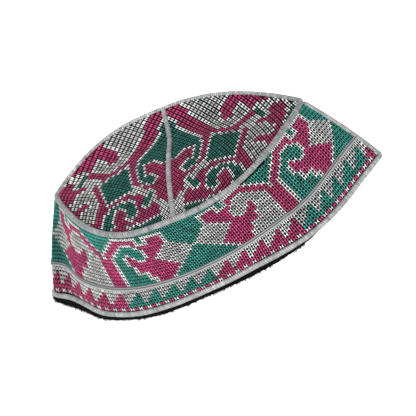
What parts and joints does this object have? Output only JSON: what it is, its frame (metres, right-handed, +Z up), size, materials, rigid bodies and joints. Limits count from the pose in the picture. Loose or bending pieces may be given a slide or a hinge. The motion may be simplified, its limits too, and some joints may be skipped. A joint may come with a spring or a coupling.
{
  "type": "kufi",
  "caption": "Soft embroidered kufi with a flat oval crown, a tall wall with a border, corded edges and a velvet facing, half folded flat.",
  "frame": {"origin": "middle of the cap's box, on the surface that the rim stands on", "axes": "+X along the folded cap's length, +Y from the front wall to the back one, +Z up"},
  "size_m": [0.256, 0.1374, 0.0723],
  "materials": {
    "crown": "embroidered in crimson, teal and white thread",
    "band": "embroidered in teal, pink and white thread",
    "cord": "satin thread, closely overcast",
    "velvet": "velvet"
  },
  "bodies": {
    "root": {"crown_left": "crown", "crown_right": "crown", "crown_seam_cord": "cord", "ridge_piping": "cord", "band_front": "band", "band_back": "band", "band_braid_front": "cord", "band_braid_back": "cord", "end_seam_cord_left": "cord", "end_seam_cord_right": "cord", "rim_binding": "cord", "rim_velvet": "velvet"}
  },
  "joints": []
}
